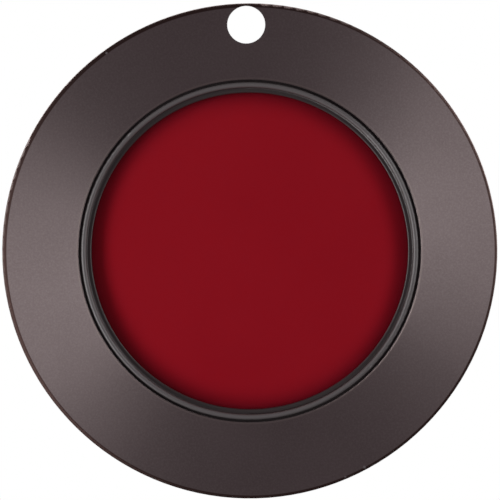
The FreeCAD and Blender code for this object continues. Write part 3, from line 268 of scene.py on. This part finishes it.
def plate_anodised():
    """Dark anodised aluminium, turned: its grooves run round the axis; painted shade makes its rim browner
    and darker, and a painted highlight lightens the recess edge.
    """
    s = Surface("plate_anodised")
    radius = s.distance_from(AXIS_X, AXIS_Z)
    grain = s.noise(0.8 * MM, 2.0)
    speck = s.noise(0.35 * MM, 2.0)
    drift = s.ramp(s.noise(40 * MM, 2.0), 0.3, 0.7)
    base = s.blend(drift, PLATE_DARK, PLATE_LIGHT)
    base = s.blend(s.ramp(grain, 0.35, 0.75, 0.0, 0.5), base, PLATE_GRAIN)
    from_edge = s.maths("ABSOLUTE", s.maths("SUBTRACT", radius, RECESS_EDGE_R))
    # painted highlight: a light line along the recess edge, where its rounding catches the light
    edge_highlight = s.ramp(from_edge, EDGE_HIGHLIGHT_CORE, EDGE_HIGHLIGHT_FADE, EDGE_HIGHLIGHT_SHARE, 0.0)
    front = s.ramp(s.depth(), BACK_START, BACK_END, 1.0, 0.0)
    base = s.blend(front, PLATE_BACK, base)
    base = s.blend(s.maths("MULTIPLY", edge_highlight, front), base, EDGE_HIGHLIGHT_COLOUR)
    # painted shade: the rounded rim darker and browner
    rim_shade_radius = s.distance_from(AXIS_X + RIM_SHADE_SHIFT_X, AXIS_Z + RIM_SHADE_SHIFT_Z)
    rim_shade = s.ramp(rim_shade_radius, PLATE_R - RIM_SHADE_WIDTH, PLATE_R - RIM_SHADE_WIDTH * RIM_SHADE_FULL)
    base = s.blend(s.maths("MULTIPLY", rim_shade, front), base, RIM_SHADE_BROWN)
    wear = chip(s, *CHIPS[0])
    for place in CHIPS[1:]:
        wear = s.maths("MAXIMUM", wear, chip(s, *place))
    base = s.blend(wear, base, CHIP_BARE)
    along_radius = s.node("ShaderNodeCombineXYZ", {0: radius}).outputs[0]
    turning = s.node("ShaderNodeTexNoise", {"Vector": along_radius, "Scale": 1 / (0.5 * MM),
                                            "Detail": 2.0}).outputs["Fac"]
    relief = s.bump(grain, 0.006 * MM, s.bump(turning, 0.003 * MM))
    tangent = s.node("ShaderNodeTangent", {}, direction_type="RADIAL", axis="Y").outputs[0]
    return s.set(Base_Color=base, Metallic=0.97, Anisotropic=0.77, Anisotropic_Rotation=0.25, Tangent=tangent,
                 Roughness=s.ramp(speck, 0.2, 0.8, 0.58, 0.68), Normal=relief)


def cell_anodised():
    return finish("cell_anodised", rgb(0.050, 0.044, 0.044), 0.42, metallic=0.7, grain=0.3 * MM)


def ring_rubber():
    """Moulded rubber with a soft sheen, dusty in its pores, with a grey bloom and a painted highlight
    lightening the bead's crest.
    """
    s = Surface("ring_rubber")
    pores = s.noise(0.5 * MM, 4.0)
    base = s.blend(s.ramp(pores, 0.55, 0.8, 0.0, 0.35), RUBBER, RUBBER_DUST)
    # grey bloom and painted highlight: the crest, which meets both lights, is lighter than the land below it
    bloom_and_sheen = s.ramp(s.depth(), BLOOM_AND_SHEEN_FULL, BLOOM_AND_SHEEN_GONE, 1.0, 0.0)
    base = s.blend(bloom_and_sheen, base, s.blend(pores, BLOOM_AND_SHEEN_DARK, BLOOM_AND_SHEEN_LIGHT))
    return s.set(Base_Color=base, Roughness=s.ramp(pores, 0.2, 0.8, 0.42, 0.52), Specular_IOR_Level=0.85,
                 Normal=s.bump(pores, 0.012 * MM))


def filter_red():
    """Deep red filter glass: light that enters it spreads a little way, and painted shade darkens it towards
    the edge of its recess.
    """
    s = Surface("filter_red_glass")
    drift = s.ramp(s.noise(60 * MM, 2.0), 0.3, 0.7)
    base = s.blend(drift, FILTER_DARK, FILTER_LIGHT)
    # painted shade: darker towards the rim of the recess
    edge_shade = s.ramp(s.distance_from(AXIS_X, AXIS_Z), EDGE_SHADE_START_R, EDGE_SHADE_END_R, kind="LINEAR")
    base = s.blend(s.maths("POWER", edge_shade, EDGE_SHADE_CURVE), base, FILTER_EDGE_SHADE)
    return s.set(Base_Color=base, Subsurface_Weight=0.6, Subsurface_Radius=(1.0, 0.25, 0.3),
                 Subsurface_Scale=2.0 * MM, Specular_IOR_Level=0.07,
                 Roughness=s.ramp(s.noise(3 * MM), 0.2, 0.8, 0.11, 0.15))


def binding_tape():
    """Matt paper tape with a fibrous surface."""
    return finish("binding_tape", rgb(0.022, 0.019, 0.019), 0.8, grain=0.25 * MM, depth=0.02 * MM, vary=0.25)


def opal_glass():
    return finish("opal_glass", rgb(0.86, 0.85, 0.82), 0.3, grain=2 * MM, depth=0.002 * MM, vary=0.02,
                  Subsurface_Weight=0.5, Subsurface_Scale=3.0 * MM)


# ------------------------------------------------------------------ housing
def stoved_enamel():
    """Black stoved enamel with a fine wrinkle and a trace of dust on its high spots."""
    s = Surface("stoved_enamel")
    wrinkle = s.noise(1.8 * MM, 4.0, distortion=1.2)
    dust = s.maths("MULTIPLY", s.ramp(wrinkle, 0.55, 0.75), s.ramp(s.noise(25 * MM), 0.35, 0.75, 0.0, 0.35))
    base = s.blend(dust, rgb(0.016, 0.015, 0.015), rgb(0.11, 0.10, 0.095))
    return s.set(Base_Color=base, Roughness=s.ramp(wrinkle, 0.3, 0.7, 0.48, 0.34),
                 Normal=s.bump(wrinkle, 0.22 * MM))


def white_enamel():
    return finish("white_enamel", rgb(0.83, 0.82, 0.78), 0.24, grain=2.5 * MM, depth=0.02 * MM, vary=0.02,
                  Coat_Weight=0.4, Coat_Roughness=0.08)


def spangled_zinc(name, colour, spangle):
    """Zinc plate: crystal patches of slightly different brightness and gloss."""
    s = Surface(name)
    patch = s.node("ShaderNodeSeparateColor", {0: s.cells(spangle, "Color")}).outputs[0]
    base = s.blend(patch, shaded(colour, 0.86), shaded(colour, 1.12))
    return s.set(Base_Color=base, Metallic=1.0, Roughness=s.ramp(patch, 0.0, 1.0, 0.28, 0.44),
                 Normal=s.bump(s.noise(0.3 * MM), 0.003 * MM))


def brass_bare():
    """Bare brass, browner where it has tarnished."""
    s = Surface("brass_bare")
    tarnish = s.ramp(s.noise(3 * MM, 4.0), 0.45, 0.75)
    base = s.blend(tarnish, rgb(0.74, 0.54, 0.24), rgb(0.40, 0.25, 0.10))
    return s.set(Base_Color=base, Metallic=1.0, Roughness=s.ramp(tarnish, 0.0, 1.0, 0.24, 0.46),
                 Normal=s.bump(s.noise(0.2 * MM), 0.002 * MM))


def porcelain():
    """Glazed porcelain with a few iron specks under the glaze."""
    s = Surface("porcelain")
    speck = s.ramp(s.cells(2.4 * MM), 0.03, 0.06, 1.0, 0.0)
    base = s.blend(speck, rgb(0.85, 0.83, 0.78), rgb(0.38, 0.29, 0.20))
    return s.set(Base_Color=base, Roughness=0.3, Coat_Weight=0.8, Coat_Roughness=0.05,
                 Normal=s.bump(s.noise(3 * MM), 0.02 * MM))


def clear_glass():
    """Blown glass, with slow ripples in its thickness."""
    s = Surface("bulb_clear_glass")
    return s.set(Base_Color=rgb(0.97, 0.98, 0.98), Transmission_Weight=1.0, IOR=1.5,
                 Roughness=s.ramp(s.noise(4 * MM), 0.2, 0.8, 0.0, 0.03),
                 Normal=s.bump(s.noise(6 * MM), 0.02 * MM))


def earth_lead():
    """Green insulation with a yellow stripe along one side."""
    s = Surface("lead_green_yellow")
    facing = s.tree.nodes.new("ShaderNodeTexCoord").outputs["Normal"]
    up = s.node("ShaderNodeSeparateXYZ", {0: facing}).outputs[2]
    base = s.blend(s.ramp(up, 0.15, 0.25), rgb(0.03, 0.22, 0.05), rgb(0.75, 0.62, 0.04))
    return s.set(Base_Color=base, Roughness=0.35, Normal=s.bump(s.noise(0.5 * MM), 0.004 * MM))


def lead_plastic(name, colour):
    return finish(name, colour, 0.34, grain=0.6 * MM, vary=0.06)


FINISHES = [
    (plate_anodised(), ["front_plate"]),
    (cell_anodised(), ["filter_cell"]),
    (ring_rubber(), ["retaining_ring"]),
    (filter_red(), ["filter_front_glass", "filter_rear_glass"]),
    (finish("gelatin_red", rgb(0.30, 0.006, 0.012), 0.35), ["filter_gelatin"]),
    (binding_tape(), ["filter_binding"]),
    (opal_glass(), ["opal_diffuser"]),
    (finish("gasket_rubber", rgb(0.022, 0.022, 0.022), 0.6), ["seat_gasket", "gland_washer", "gland_seal"]),
    (stoved_enamel(), ["housing_drum", "rear_cover", "vent_cap"]),
    (finish("black_steel", rgb(0.075, 0.075, 0.08), 0.36, metallic=1.0),
     ["drum_screws", "cover_screws", "vent_screws", "chassis_screws"]),
    (spangled_zinc("zinc_steel", rgb(0.60, 0.61, 0.62), 1.5 * MM),
     ["cell_screws", "clinch_nuts", "vent_nuts", "reflector_screws", "chassis_nuts", "lampholder_screws",
      "terminal_screws", "earth_screw"]),
    (spangled_zinc("chassis_zinc", rgb(0.54, 0.55, 0.57), 5 * MM), ["clamp_ring", "chassis"]),
    (finish("aluminium_bare", rgb(0.70, 0.70, 0.71), 0.3, metallic=1.0), ["vent_spacers", "bumper_rivets"]),
    (finish("bumper_rubber", rgb(0.026, 0.025, 0.025), 0.66, grain=0.5 * MM, depth=0.02 * MM),
     ["wall_bumpers"]),
    (white_enamel(), ["reflector"]),
    (brass_bare(), ["reflector_pillars", "lampholder_shell", "lampholder_contact", "terminal_inserts",
                    "earth_tag", "switch_terminals"]),
    (porcelain(), ["lampholder_body"]),
    (clear_glass(), ["bulb_glass", "bulb_stem"]),
    (finish("bulb_cap_metal", rgb(0.68, 0.64, 0.56), 0.26, metallic=1.0), ["bulb_cap"]),
    (finish("vitrite_black", rgb(0.012, 0.012, 0.018), 0.15), ["bulb_insulator"]),
    (finish("solder", rgb(0.58, 0.58, 0.58), 0.42, metallic=1.0, depth=0.02 * MM), ["bulb_contact"]),
    (finish("tungsten", rgb(0.28, 0.28, 0.30), 0.4, metallic=1.0), ["bulb_filament"]),
    (finish("terminal_nylon", rgb(0.78, 0.76, 0.69), 0.5), ["terminal_block"]),
    (lead_plastic("lead_brown", rgb(0.14, 0.05, 0.02)), ["lead_live"]),
    (lead_plastic("lead_black", rgb(0.018, 0.018, 0.018)), ["lead_switched"]),
    (lead_plastic("lead_blue", rgb(0.03, 0.11, 0.40)), ["lead_neutral"]),
    (earth_lead(), ["lead_earth"]),
    (finish("gland_nylon", rgb(0.024, 0.024, 0.025), 0.5, depth=0.012 * MM),
     ["gland_body", "gland_locknut", "gland_cap"]),
    (finish("switch_black", rgb(0.020, 0.020, 0.021), 0.46, depth=0.01 * MM), ["switch_body"]),
    (finish("rocker_black", rgb(0.016, 0.016, 0.017), 0.22), ["switch_rocker"]),
]


def give_finishes():
    for material, names in FINISHES:
        for name in names:
            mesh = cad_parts[name].data
            mesh.materials.clear()
            mesh.materials.append(material)


def make_floor():
    """Plain pale round floor below the lamp, which doesn't light it or reflect in it."""
    bpy.ops.mesh.primitive_circle_add(vertices=FLOOR_SIDES, radius=FLOOR_R, fill_type="NGON",
                                      location=(AXIS_X, 0, FLOOR_Z))
    floor = bpy.context.object
    floor.name = "floor"
    floor.visible_diffuse = False
    floor.visible_glossy = False
    paper = finish("floor_paper", rgb(0.80, 0.80, 0.79), 0.8, grain=2 * MM, vary=0.02)
    floor.data.materials.append(paper)


give_finishes()
make_floor()
make_camera()
make_lights()
make_world()
bpy.context.scene.view_settings.view_transform = "Standard"
bpy.context.scene.cycles.use_denoising = True
